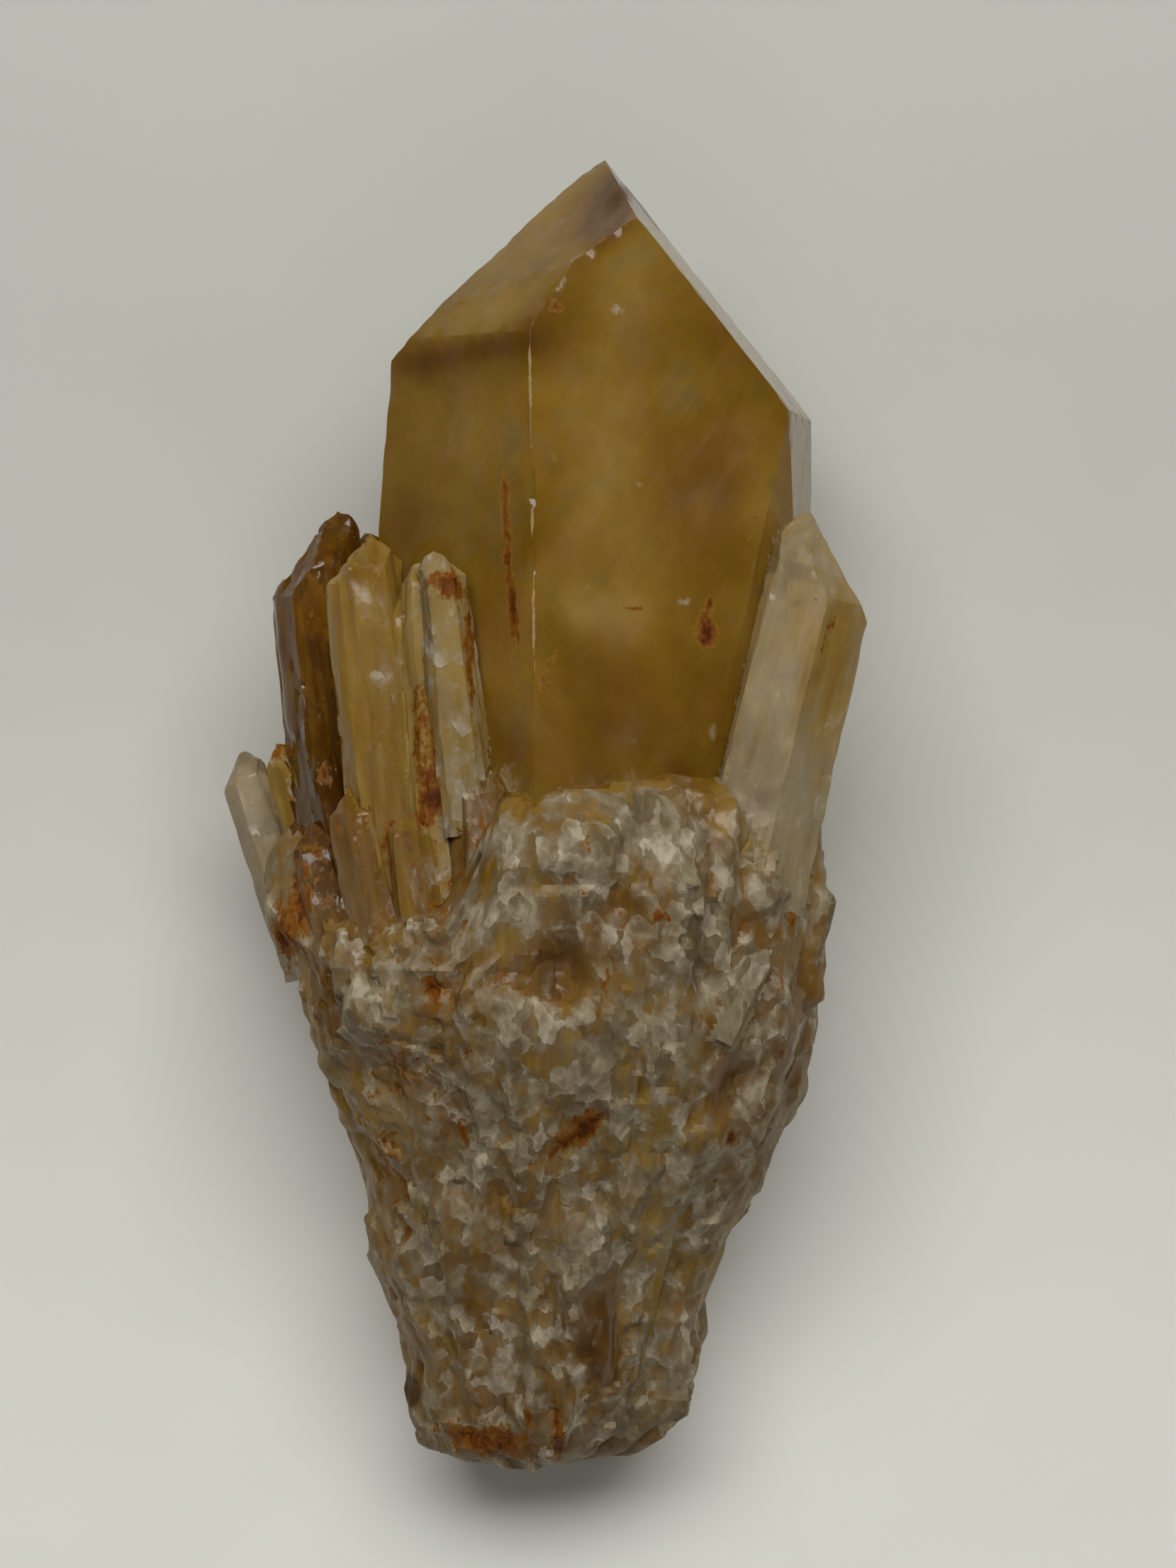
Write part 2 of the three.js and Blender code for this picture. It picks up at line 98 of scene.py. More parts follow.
# The smaller points: (foot, tip, size, more). `size` is the distance from axis to prism
# face and `turn` the azimuth of one of them, `flat` squashes the crystal front to back,
# `aside` moves the tip off the axis, `uneven` sets how much three of the six end faces
# crowd out the others, and `blunt` cuts the tip off by that much.
SMALL_CRYSTALS = (
    # The sheaf on the left, from the outer edge inwards
    ((-21.0, -14.5, 12.5), (-27.0, 2.8, 13.2), 1.85, dict(turn=22, aside=0.5, uneven=0.4, blunt=0.5)),
    ((-18.4, -12.0, 15.5), (-23.2, 3.6, 18.2), 1.9, dict(turn=-5, aside=-0.4, uneven=0.4)),
    ((-16.8, -14.0, 17.2), (-20.8, 20.7, 20.4), 3.6, dict(turn=30, aside=2.1, uneven=0.3, blunt=0.4)),
    ((-14.0, -14.0, 16.5), (-16.6, 19.6, 18.9), 2.9, dict(turn=12, uneven=0.5, blunt=0.9)),
    ((-18.2, -14.0, 10.5), (-20.6, 12.6, 13.8), 2.9, dict(turn=12, uneven=0.3)),
    ((-17.0, -12.0, 21.0), (-20.9, 9.0, 21.3), 1.6, dict(turn=25, uneven=0.2, blunt=0.3)),
    (
        (-13.3, -14.0, 24.0),
        (-16.9, 19.0, 25.2),
        3.5,
        dict(turn=30, flat=0.68, aside=0.9, uneven=0.5, blunt=0.3),
    ),
    (
        (-11.6, -15.0, 24.0),
        (-14.2, 15.8, 24.9),
        4.9,
        dict(turn=30, flat=0.52, uneven=0.4, blunt=1.2),
    ),
    ((-10.8, -12.0, 26.0), (-12.3, 16.4, 27.0), 1.7, dict(turn=22, uneven=0.3)),
    ((-8.7, -3.6, 26.7), (-10.9, 17.5, 28.2), 2.0, dict(turn=30, aside=-0.3, uneven=0.5, blunt=0.3)),
    ((-14.3, -16.0, 25.9), (-17.6, 0.2, 25.2), 1.9, dict(turn=15, uneven=0.4, blunt=0.5)),
    ((-11.3, -16.0, 27.2), (-13.2, -1.2, 26.9), 1.8, dict(turn=40, uneven=0.2, blunt=0.8)),
    ((-6.6, -17.0, 28.0), (-7.9, 2.2, 26.8), 2.5, dict(turn=28, uneven=0.4, blunt=0.8)),
    ((-4.4, -17.0, 27.6), (-4.9, 0.2, 28.3), 2.3, dict(turn=10, uneven=0.3, blunt=0.8)),
    ((-17.0, -18.0, 23.0), (-20.6, -2.4, 21.8), 2.0, dict(turn=33, uneven=0.4, blunt=0.4)),
    ((-15.4, -18.0, 8.0), (-19.8, 6.5, 8.6), 3.0, dict(turn=0, uneven=0.5)),
    ((-11.0, -18.0, 5.6), (-14.4, 12.5, 6.0), 3.5, dict(turn=6, uneven=0.4)),
    # The stout one on the right with its companions
    ((11.4, -8.0, 22.2), (18.1, 20.0, 23.9), 4.0, dict(turn=50, aside=-1.8, uneven=0.15)),
    ((12.0, -8.0, 15.0), (16.2, 12.0, 17.4), 2.6, dict(turn=25, uneven=0.3)),
    ((9.2, -14.0, 9.4), (14.2, 13.0, 10.8), 3.5, dict(turn=0, uneven=0.5)),
    ((8.8, -15.0, 22.6), (11.6, -1.6, 26.2), 2.2, dict(turn=20, uneven=0.4, blunt=0.8)),
    ((8.4, -20.0, 3.8), (11.6, 8.6, 3.2), 3.3, dict(turn=30, uneven=0.4)),
    # Underneath
    ((-6.0, -20.0, 4.0), (-7.4, 17.2, 3.4), 3.9, dict(turn=30, uneven=0.5)),
    ((2.0, -20.0, 3.8), (1.2, 20.8, 2.9), 3.5, dict(turn=30, uneven=0.4)),
    ((6.0, -20.0, 3.4), (7.4, 13.4, 2.8), 3.2, dict(turn=30, uneven=0.6)),
    # Stubs that break through the root, and the flake and glassy splinter on its right
    ((-3.0, -16.0, 25.0), (-1.4, -0.4, 30.0), 2.3, dict(turn=10, uneven=0.3, blunt=1.0)),
    ((3.2, -16.0, 25.0), (4.6, 0.4, 29.4), 2.4, dict(turn=38, uneven=0.5, blunt=1.2)),
    ((9.6, -18.6, 27.6), (13.0, -11.8, 27.6), 1.0, dict(turn=15, uneven=0.3)),
    ((14.3, -19.5, 13.4), (17.6, -6.3, 14.6), 1.7, dict(turn=40, uneven=0.4, blunt=0.8)),
    ((-4.0, -44.0, 12.0), (-3.0, -22.0, 25.6), 2.6, dict(turn=20, uneven=0.2, blunt=1.0)),
    ((0.5, -47.0, 11.0), (6.8, -22.0, 24.4), 2.6, dict(turn=5, uneven=0.3, blunt=1.4)),
    ((-8.0, -46.0, 11.0), (-12.6, -20.0, 22.6), 2.8, dict(turn=28, uneven=0.3, blunt=1.4)),
    ((-9.0, -47.0, 8.0), (-17.0, -21.0, 15.6), 2.8, dict(turn=10, uneven=0.4, blunt=1.0)),
    ((3.0, -46.0, 8.5), (11.2, -25.0, 16.6), 2.9, dict(turn=33, uneven=0.4, blunt=1.2)),
    ((-7.0, -46.0, 6.0), (-13.0, -22.0, 5.4), 3.4, dict(turn=30, uneven=0.2, blunt=1.0)),
    ((0.0, -46.0, 6.0), (5.0, -22.0, 4.6), 3.4, dict(turn=30, uneven=0.3, blunt=1.2)),
)
CRYSTAL_TAPER_DEG = 1.2
FOOT_SWELL = 1.06
BLUNT_TURN_DEG = 75
BLUNT_LEAN_DEG = 16

# The root's outline seen from above and from the side:
# (y, left x, right x, underside z, top z)
ROOT_OUTLINE = np.array([
    (-52.2, -9.0, 2.2, 4.0, 12.5),
    (-51.2, -12.3, 4.2, 1.6, 14.5),
    (-48.5, -13.4, 7.0, 0.4, 16.6),
    (-44.5, -13.5, 8.0, 0.0, 18.0),
    (-39.0, -15.3, 9.2, 0.0, 20.2),
    (-34.0, -16.4, 10.9, 0.3, 22.6),
    (-28.0, -17.5, 14.0, 0.4, 25.6),
    (-23.0, -19.5, 16.3, 0.2, 28.4),
    (-18.0, -20.6, 17.2, 0.0, 30.6),
    (-12.0, -22.4, 17.2, -0.2, 32.4),
    (-8.0, -23.0, 17.5, -0.2, 33.2),
    (-3.5, -21.6, 17.4, 0.0, 32.0),
    (-1.0, -20.0, 16.8, 1.5, 30.2),
    (1.6, -13.0, 13.5, 6.0, 25.0),
])
ROOT_START_Y = ROOT_OUTLINE[0, 0]
ROOT_END_Y = ROOT_OUTLINE[-1, 0]
ROOT_SQUARENESS = 2.3
ROOT_END_DOME = 0.7
ROOT_END_CHIPS = 0.6
# About how far it is once around the root
ROOT_GIRTH = 135

# Left of this x the root ends lower on its upper side, where the sheaf begins
SHEAF_X = -8.3
SHEAF_EDGE = 4
SHEAF_DROP = 9
SHEAF_FROM_Y = -22
SHEAF_FROM_Z = 19
SHEAF_FADE_Z = 6

# How far the root's upper end runs in and out, and how wide one tongue of it is
ROOT_END_WAVE = dict(height=2.6, width=4.5, from_y=-16)

# Relief of the root: how high it is, and how wide and long one column, broken face,
# lump or crumb is
FAN_RADIUS = 14
COLUMN = dict(depth=0.8, width=3.4, length=22)
BROKEN = dict(depth=0.65, width=4.6, length=8.5, tilt=1.4, crispness=13)
LUMP = dict(depth=0.7, width=5.3, length=7.5)
CRUMB = dict(depth=0.24, width=1.5, length=2.4, tilt=1.6, crispness=16)
GRAIN = dict(depth=0.1, width=0.7, length=0.9)

# Hollows (rise below 0) and lumps of the root: (x, y, z, half width, half length, rise)
ROOT_PLACES = (
    (-2.2, -14.0, 32, 2.8, 2.8, -1.9),
    (-10.5, -10.0, 31, 3.0, 3.5, -1.0),
    (9.5, -14.5, 30, 2.4, 3.0, -1.2),
    (-1.0, -25.0, 28, 1.6, 2.4, -1.3),
    (2.0, -38.0, 21, 2.2, 5.0, -0.9),
    (13.2, -8.0, 28, 1.8, 2.0, 1.3),
    (1.5, -6.0, 33, 4.0, 3.0, 0.9),
    (-8.0, -20.0, 29, 3.5, 3.5, 0.8),
    (5.0, -20.5, 29, 2.5, 6.0, 0.7),
)

# How fine the mesh is, in millimetres
CELL = 0.5
ROOT_CELL = 0.42


def lattice_value(i, j, k):
    """A repeatable number from 0 to 1 for each point of the lattice."""
    s = np.sin(i * 127.1 + j * 311.7 + k * 74.7) * 43758.5453
    return s - np.floor(s)


def noise(x, y, z):
    """Smooth noise from -1 to 1."""
    cell = [np.floor(a) for a in (x, y, z)]
    u, v, w = [(a - c) ** 2 * (3 - 2 * (a - c)) for a, c in zip((x, y, z), cell)]

    def row(j, k):
        a = lattice_value(cell[0], cell[1] + j, cell[2] + k)
        b = lattice_value(cell[0] + 1, cell[1] + j, cell[2] + k)
        return a + (b - a) * u

    low = row(0, 0) + (row(1, 0) - row(0, 0)) * v
    high = row(0, 1) + (row(1, 1) - row(0, 1)) * v
    return 2 * (low + (high - low) * w) - 1


def broken_faces(x, y, z, tilt, crispness):
    """Flats of their own height and tilt, one for each cell, with narrow slopes between."""
    cell = [np.floor(a) for a in (x, y, z)]
    total = np.zeros_like(x)
    weights = np.zeros_like(x)
    for step in itertools.product((-1, 0, 1), repeat=3):
        a, b, c = [n + s for n, s in zip(cell, step)]
        dx = x - a - lattice_value(a, b, c)
        dy = y - b - lattice_value(b + 9, c, a)
        dz = z - c - lattice_value(c, a + 5, b)
        weight = np.exp(-crispness * (dx * dx + dy * dy + dz * dz))
        level, *slopes = [2 * lattice_value(a + n, b, c + n) - 1 for n in (3, 7, 13, 17)]
        slope = slopes[0] * dx + slopes[1] * dy + slopes[2] * dz
        total += weight * (level + tilt * slope)
        weights += weight
    return total / weights


def smoothstep(low, high, value):
    t = np.clip((value - low) / (high - low), 0, 1)
    return t * t * (3 - 2 * t)


def unit(vector):
    return vector / np.linalg.norm(vector)


class Axis:
    """The directions along and square to the line from foot to tip."""

    def __init__(self, foot, tip):
        self.foot = np.array(foot, float)
        self.along = unit(np.array(tip, float) - self.foot)
        self.side = unit(np.array([1.0, 0, 0]) - self.along * self.along[0])
        self.up = np.cross(self.side, self.along)

    def around(self, azimuth):
        a = math.radians(azimuth)
        return self.side * math.cos(a) + self.up * math.sin(a)

    def leaning_plane(self, azimuth, lean, place):
        tilt = math.radians(lean)
        normal = self.around(azimuth) * math.sin(tilt) + self.along * math.cos(tilt)
        return normal, normal @ np.array(place, float)

    def local(self, places):
        """Across, along and up coordinates of places, from the foot."""
        return [(places - self.foot) @ way for way in (self.side, self.along, self.up)]


def plane_through(names):
    a, b, c = [np.array(MAIN_CORNERS[name]) for name in names]
    normal = unit(np.cross(b - a, c - a))
    if normal @ (a - np.array(MAIN_MIDDLE)) < 0:
        normal = -normal
    return normal, normal @ a


def main_planes(axis):
    planes = [plane_through(names) for names in MAIN_UPPER_FACES]
    planes += [axis.leaning_plane(*face) for face in (MAIN_WORN_APEX, *MAIN_LOWER_FACES)]
    return planes + [(-axis.along, -MAIN_FOOT_Y)]


def small_planes(axis, tip, size, turn, uneven, flat=1, aside=0, blunt=0):
    to = np.array(tip, float) + axis.around(0) * aside
    planes = [(-axis.along, -axis.along @ axis.foot)]
    if blunt:
        cut = to - axis.along * blunt
        planes.append(axis.leaning_plane(turn + BLUNT_TURN_DEG, BLUNT_LEAN_DEG, cut))
    for k in range(6):
        azimuth = turn + k * PRISM_STEP_DEG
        squash = 1 - (1 - flat) * abs(math.sin(math.radians(azimuth)))
        wall = axis.foot + axis.around(azimuth) * size * squash * FOOT_SWELL
        planes.append(axis.leaning_plane(azimuth, 90 - CRYSTAL_TAPER_DEG, wall))
        drop = uneven * size / 2 if k % 2 else 0
        planes.append(axis.leaning_plane(azimuth, POINT_LEAN_DEG, to - axis.along * drop))
    return planes


def corners_inside(planes):
    """The corners of the convex solid inside a set of planes."""
    normals = np.array([n for n, _ in planes])
    distances = np.array([d for _, d in planes])
    threes = np.array(list(itertools.combinations(range(len(planes)), 3)))
    matrices = normals[threes]
    meet = np.abs(np.linalg.det(matrices)) > 1e-5
    places = np.linalg.solve(matrices[meet], distances[threes[meet]][..., None])[..., 0]
    inside = (places @ normals.T < distances + 1e-4).all(axis=1)
    return np.unique(places[inside].round(4), axis=0)


def slice_solid(bm, place, way, count, start, step):
    for n in range(count):
        everything = bm.verts[:] + bm.edges[:] + bm.faces[:]
        at = place + way * (start + n * step)
        bmesh.ops.bisect_plane(bm, geom=everything, plane_co=at, plane_no=way, dist=1e-5)


def crystal_mesh(planes, axis, cell):
    """The solid inside the planes, with each face cut into small cells."""
    corners = corners_inside(planes)
    bm = bmesh.new()
    for corner in corners:
        bm.verts.new(corner)
    hull = bmesh.ops.convex_hull(bm, input=bm.verts)
    bmesh.ops.delete(bm, geom=list(set(hull["geom_interior"])), context="VERTS")
    bmesh.ops.dissolve_limit(bm, angle_limit=0.002, verts=bm.verts, edges=bm.edges)
    across, along, up = axis.local(corners)
    radius = np.hypot(across, up).max()
    rows = int((along.max() - along.min()) / cell)
    slice_solid(bm, axis.foot, axis.along, rows, along.min() + cell * 0.6, cell)
    fans = max(6, int(math.pi * radius * 0.9 / cell))
    for n in range(fans):
        way = axis.around(180 * (n + 0.37) / fans)
        everything = bm.verts[:] + bm.edges[:] + bm.faces[:]
        bmesh.ops.bisect_plane(bm, geom=everything, plane_co=axis.foot, plane_no=way, dist=1e-5)
    bmesh.ops.remove_doubles(bm, verts=bm.verts, dist=0.01)
    bmesh.ops.triangulate(bm, faces=bm.faces)
    return bm


def coordinates(mesh):
    flat = np.empty(len(mesh.vertices) * 3)
    mesh.vertices.foreach_get("co", flat)
    return flat.reshape(-1, 3)


def normals_of(mesh):
    flat = np.empty(len(mesh.vertices) * 3)
    mesh.vertex_normals.foreach_get("vector", flat)
    return flat.reshape(-1, 3)


def new_object(name, mesh):
    obj = bpy.data.objects.new(name, mesh)
    bpy.context.scene.collection.objects.link(obj)
    return obj


def crystal_object(name, planes, axis, cell, relief):
    bm = crystal_mesh(planes, axis, cell)
    mesh = bpy.data.meshes.new(name)
    bm.to_mesh(mesh)
    bm.free()
    places = coordinates(mesh)
    rise = relief(places, planes, axis)
    places += normals_of(mesh) * rise[:, None]
    mesh.vertices.foreach_set("co", places.ravel())
    return new_object(name, mesh)


def edge_nearness(places, planes, reach):
    """1 on an edge of the solid, 0 from `reach` away from it."""
    depths = np.array([d - places @ n for n, d in planes])
    depths.sort(axis=0)
    return 1 - smoothstep(0, reach, depths[1])


def main_relief(places, planes, axis):
    """Nearly flat glassy faces with low growth steps, and chipped edges."""
    x, y, z = places.T
    rise = 0.035 * noise(x / 7, y / 9, z / 7)
    rise += 0.03 * broken_faces(x / 6, y / 11, z / 6, 0.6, 60)
    chips = np.maximum(0, noise(x / 0.9 + 3, y / 1.6, z / 0.9) + 0.15)
    rise -= 0.16 * chips * edge_nearness(places, planes, 0.5)
    ridge = np.exp(-(((x + 3.9) / 1.2) ** 2)) * smoothstep(6, 9, y) * smoothstep(33.5, 32, y)
    rise -= 0.22 * ridge * edge_nearness(places, planes, 0.7) * (0.5 + chips) * (z > 25)
    return rise


def small_relief(size):
    """Lengthwise slats, furrows and chipped edges of a smaller point."""

    def relief(places, planes, axis):
        across, along, up = axis.local(places)
        x, y, z = places.T
        slats = broken_faces(across / 1.3 + size, along / 9, up / 1.3, 0.3, 26)
        furrow = noise(across / 0.8 + 5, along / 13, up / 0.8 + size)
        rise = 0.17 * slats - 0.16 * np.exp(-((furrow / 0.16) ** 2))
        rise += 0.05 * noise(x / 1.1, y / 2.5, z / 1.1)
        chips = np.maximum(0, noise(x / 0.8, y / 1.2, z / 0.8 + 2))
        return rise - 0.25 * chips * edge_nearness(places, planes, 0.5)

    return relief


def glassy_relief(places, planes, axis):
    across, along, up = axis.local(places)
    x, y, z = places.T
    rise = 0.1 * broken_faces(across / 2.2, along / 8, up / 2.2, 0.5, 30)
    rise += 0.04 * noise(x / 1.6, y / 3, z / 1.6)
    chips = np.maximum(0, noise(x / 0.8, y / 1.2, z / 0.8 + 2))
    return rise - 0.2 * chips * edge_nearness(places, planes, 0.45)


def root_outline(y):
    return [np.interp(y, ROOT_OUTLINE[:, 0], ROOT_OUTLINE[:, n]) for n in range(1, 5)]


def root_relief(x, y, z, angle):
    c = FAN_RADIUS * np.cos(angle)
    s = FAN_RADIUS * np.sin(angle)
    groove = noise(c / COLUMN["width"] + 7, y / COLUMN["length"] + 3, s / COLUMN["width"] + 5)
    rise = COLUMN["depth"] * (0.55 - 2 * np.abs(groove))
    for form, (u, w) in ((BROKEN, (c, s)), (CRUMB, (x, z))):
        cells = u / form["width"], y / form["length"], w / form["width"]
        rise += form["depth"] * broken_faces(*cells, form["tilt"], form["crispness"])
    rise += LUMP["depth"] * noise(x / LUMP["width"] + 11, y / LUMP["length"], z / LUMP["width"])
    rise += GRAIN["depth"] * noise(x / GRAIN["width"], y / GRAIN["length"], z / GRAIN["width"])
    for px, py, pz, wide, long, height in ROOT_PLACES:
        far = ((x - px) ** 2 + (z - pz) ** 2) / wide**2 + ((y - py) / long) ** 2
        rise += height * np.exp(-far)
    return rise


def sheaf_drop(x, y, z):
    across = np.clip((SHEAF_X - x) / SHEAF_EDGE + 0.5, 0, 1)
    along = np.maximum(0, (y - SHEAF_FROM_Y) / (ROOT_END_Y - SHEAF_FROM_Y))
    return SHEAF_DROP * across * along * np.clip((z - SHEAF_FROM_Z) / SHEAF_FADE_Z, 0, 1)


def end_wave(y, c, s):
    """How far the root's end runs out on this side."""
    width = ROOT_END_WAVE["width"]
    from_y = ROOT_END_WAVE["from_y"]
    along = np.maximum(0, (y - from_y) / (ROOT_END_Y - from_y))
    tongues = noise(c * FAN_RADIUS / width + 2, np.full_like(y, 1.5), s * FAN_RADIUS / width + 8)
    return ROOT_END_WAVE["height"] * along**2 * tongues


def root_object():
    """The root's surface: rings around the outline, with the relief, closed at both ends."""
    rings = int((ROOT_END_Y - ROOT_START_Y) / ROOT_CELL) + 1
    sides = int(ROOT_GIRTH / ROOT_CELL)
    y, angle = np.meshgrid(
        np.linspace(ROOT_START_Y, ROOT_END_Y, rings),
        np.arange(sides) * 2 * math.pi / sides,
        indexing="ij",
    )
    c, s = np.cos(angle), np.sin(angle)
    left, right, under, top = root_outline(y)
    box_c, box_s = [np.sign(v) * np.abs(v) ** (2 / ROOT_SQUARENESS) for v in (c, s)]
    x = (left + right) / 2 + (right - left) / 2 * box_c
    z = (under + top) / 2 + (top - under) / 2 * box_s
    rise = root_relief(x, y, z, angle)
    place_y = y - sheaf_drop(x, y, z) + end_wave(y, c, s)
    place_y[0] += ROOT_END_CHIPS * noise(x[0] / 2.5, np.full(sides, 4.1), z[0] / 2.5)
    places = np.stack([x + rise * c, place_y, z + rise * s], axis=-1).reshape(-1, 3)
    ends = []
    for end_y, way in ((ROOT_START_Y, -1), (ROOT_END_Y, 1)):
        left, right, under, top = root_outline(end_y)
        ends.append(((left + right) / 2, end_y + way * ROOT_END_DOME, (under + top) / 2))
    faces = []
    for ring, j in itertools.product(range(rings - 1), range(sides)):
        a, b = ring * sides + j, ring * sides + (j + 1) % sides
        faces.append((a, a + sides, b + sides, b))
    last = (rings - 1) * sides
    for j in range(sides):
        after = (j + 1) % sides
        faces.append((len(places), j, after))
        faces.append((len(places) + 1, last + after, last + j))
    mesh = bpy.data.meshes.new("root")
    mesh.from_pydata(np.vstack([places, ends]).tolist(), [], faces)
    return new_object("root_shape", mesh)


def combine(obj, other, operation):
    """Joins `other` to `obj` or cuts with it, and removes `other`."""
    modifier = obj.modifiers.new("combine", "BOOLEAN")
    modifier.operation = operation
    modifier.solver = "MANIFOLD"
    modifier.object = other
    graph = bpy.context.evaluated_depsgraph_get()
    mesh = bpy.data.meshes.new_from_object(obj.evaluated_get(graph))
    obj.modifiers.clear()
    obj.data = mesh
    bpy.data.objects.remove(other)


def table_box():
    bm = bmesh.new()
    bmesh.ops.create_cube(bm, size=1)
    bmesh.ops.scale(bm, vec=(200, 200, 100), verts=bm.verts)
    bmesh.ops.translate(bm, vec=(0, 0, 50 + REST_CUT), verts=bm.verts)
    mesh = bpy.data.meshes.new("above_table")
    bm.to_mesh(mesh)
    bm.free()
    return new_object("above_table", mesh)


# The places in the list of the three points with glassy faces: the outermost on the left,
# the stout one on the right and the splinter
GLASSY = (0, 17, 27)


def crystals():
    """Each crystal's planes, axis and relief, the large one first."""
    axis = Axis(MAIN_FOOT, MAIN_TIP)
    yield main_planes(axis), axis, main_relief
    for n, (foot, tip, size, more) in enumerate(SMALL_CRYSTALS):
        axis = Axis(foot, tip)
        relief = glassy_relief if n in GLASSY else small_relief(size)
        yield small_planes(axis, tip, size, **more), axis, relief


def specimen_object():
    whole = root_object()
    for n, (planes, axis, relief) in enumerate(crystals()):
        combine(whole, crystal_object(f"crystal_{n}", planes, axis, CELL, relief), "UNION")
    combine(whole, table_box(), "INTERSECT")
    whole.name = "citrine_specimen"
    return whole


# The looks of each body: (amber, haze, milk, stain, worn edges). The smaller points have
# the usual ones unless their place in the list is named here.
USUAL_LOOKS = (0.62, 0.6, 0.15, 0.22, 0.35)
MAIN_LOOKS = (0.60, 0.42, -0.6, -0.1, 1.0)
ROOT_LOOKS = (0.80, 0.6, 0.56, 0.13, 0.0)
SMALL_LOOKS = {
    0: (0.0, 0.35, 0.0, 0.05, 0.6),
    1: (0.6, 0.6, 0.1, 0.25, 0.4),
    2: (0.88, 0.3, -0.4, 0.18, 0.25),
    3: (0.92, 0.3, -0.4, 0.18, 0.25),
    4: (0.62, 0.6, 0.1, 0.25, 0.3),
    5: (0.92, 0.3, -0.4, 0.18, 0.25),
    6: (0.60, 0.6, -0.05, 0.16, 0.4),
    7: (0.62, 0.6, -0.05, 0.2, 0.3),
    8: (0.50, 0.65, 0.1, 0.2, 0.5),
    9: (0.42, 0.6, 0.25, 0.2, 0.5),
    10: (0.70, 0.5, 0.0, 0.3, 0.3),
    11: (0.68, 0.5, 0.0, 0.3, 0.3),
    12: (0.85, 0.5, -0.1, 0.28, 0.3),
    13: (0.80, 0.5, -0.1, 0.25, 0.3),
    14: (0.92, 0.5, -0.1, 0.35, 0.3),
    17: (0.15, 0.5, -0.05, -0.15, 0.8),
    25: (0.5, 0.75, 0.45, 0.1, 0.3),
    26: (0.5, 0.75, 0.45, 0.1, 0.3),
    27: (0.0, 0.3, 0.35, -0.3, 0.9),
    28: (0.35, 0.6, 0.4, 0.05, 0.5),
}
EDGE_REACH = 0.5
OWNED_WITHIN = 0.45

# Marks on the upper side: (x, y, half width, half length, turn from +Y, strength)
STAINS = (
    (8.6, 11.1, 0.9, 1.4, 10, 1.5),
    (8.9, 13.2, 0.4, 0.6, 0, 1.1),
    (3.4, 12.7, 0.3, 1.3, 92, 0.9),
    (-2.6, 23.7, 0.4, 1.4, 20, 0.9),
    (-2.2, 25.8, 0.3, 0.6, 50, 0.9),
    (-2.4, 34.2, 0.8, 0.6, 0, 0.8),
    (1.0, 39.3, 0.45, 3.2, -40, 0.6),
    (12.2, 19.5, 0.45, 4.5, -12, 0.8),
    (9.4, 15.6, 0.4, 2.0, 25, 0.75),
    (-3.0, 8.0, 0.9, 2.6, -15, 0.75),
    (-5.9, 20.0, 0.45, 4.0, 2, 1.15),
    (-5.4, 12.5, 0.5, 4.2, 6, 1.15),
    (-6.8, 8.0, 0.3, 4.5, 0, 0.7),
    (-3.6, 3.8, 1.3, 2.6, -15, 0.42),
    (-10.2, 14.4, 1.4, 1.1, 0, 0.85),
    (-8.5, 9.0, 0.3, 5.0, 3, 0.75),
    (-23.0, 2.6, 1.4, 0.8, -20, 0.6),
    (-22.6, -11.5, 1.6, 4.5, -18, 0.8),
    (16.7, 13.6, 0.4, 0.7, 0, 1.2),
    (17.4, 10.8, 0.3, 3.4, -22, 1.0),
    (-0.5, -25.1, 0.9, 2.3, -48, 1.1),
    (10.5, -26.0, 0.5, 0.6, 0, 1.3),
    (-11.3, -14.8, 0.9, 1.9, 25, 0.6),
    (-9.0, -25.4, 0.5, 1.1, 20, 0.6),
    (-13.6, -20.4, 1.5, 3.2, 25, 0.55),
    (-15.0, -27.0, 1.3, 5.5, 12, 0.5),
    (1.0, -15.3, 0.2, 4.6, -14, 0.7),
    (5.3, -9.4, 1.4, 1.2, -30, 0.5),
    (-2.2, -49.0, 0.5, 2.8, 2, 0.9),
    (-4.5, -47.4, 0.3, 1.0, 0, 0.6),
    (-0.9, -46.4, 0.3, 1.2, 10, 0.7),
    (-11.6, -1.6, 0.8, 1.6, 0, 0.9),
    (-19.5, 0.7, 0.5, 0.9, 10, 0.9),
    (-7.5, -50.0, 1.4, 4.6, 82, 0.85),
    (15.0, -10.0, 0.4, 0.9, 0, 0.6),
    (-8.6, -19.2, 0.4, 0.6, 0, 0.5),
)
MILKY_PLACES = (
    (2.8, -2.8, 3.6, 2.6, 0, 0.4),
    (-17.0, -5.5, 5.5, 7.5, 10, -0.6),
    (12.5, -20.5, 2.8, 5.2, -18, -0.4),
    (0.8, -41.0, 1.9, 4.2, 4, -0.6),
    (-2.0, -13.0, 2.4, 3.4, 25, -0.4),
    (-4.0, -50.0, 7.0, 3.0, 0, -0.5),
    (-16.0, -30.0, 1.6, 12.0, 12, -0.35),
    (7.7, -11.5, 2.2, 3.4, 0, 0.5),
    (-5.2, -8.0, 2.0, 4.2, 10, 0.3),
    (-6.4, -24.0, 1.6, 1.6, 0, 0.3),
    (2.7, -48.6, 0.9, 1.3, 0, 1.3),
    (4.5, -18.0, 3.5, 7.0, -8, 0.25),
    (13.3, -8.0, 0.9, 1.4, 0, 0.5),
    (2.2, 34.2, 0.7, 0.6, 0, 1.1),
    (3.8, 21.6, 0.4, 0.4, 0, 1.3),
    (6.9, 13.3, 0.7, 0.5, 0, 1.1),
    (0.0, 14.0, 0.9, 1.0, 0, 0.8),
    (9.1, 3.8, 0.5, 1.0, 0, 1.2),
    (-11.8, 12.0, 0.6, 5.5, 5, 0.45),
    (-14.8, 9.0, 0.5, 4.0, 3, 0.35),
)
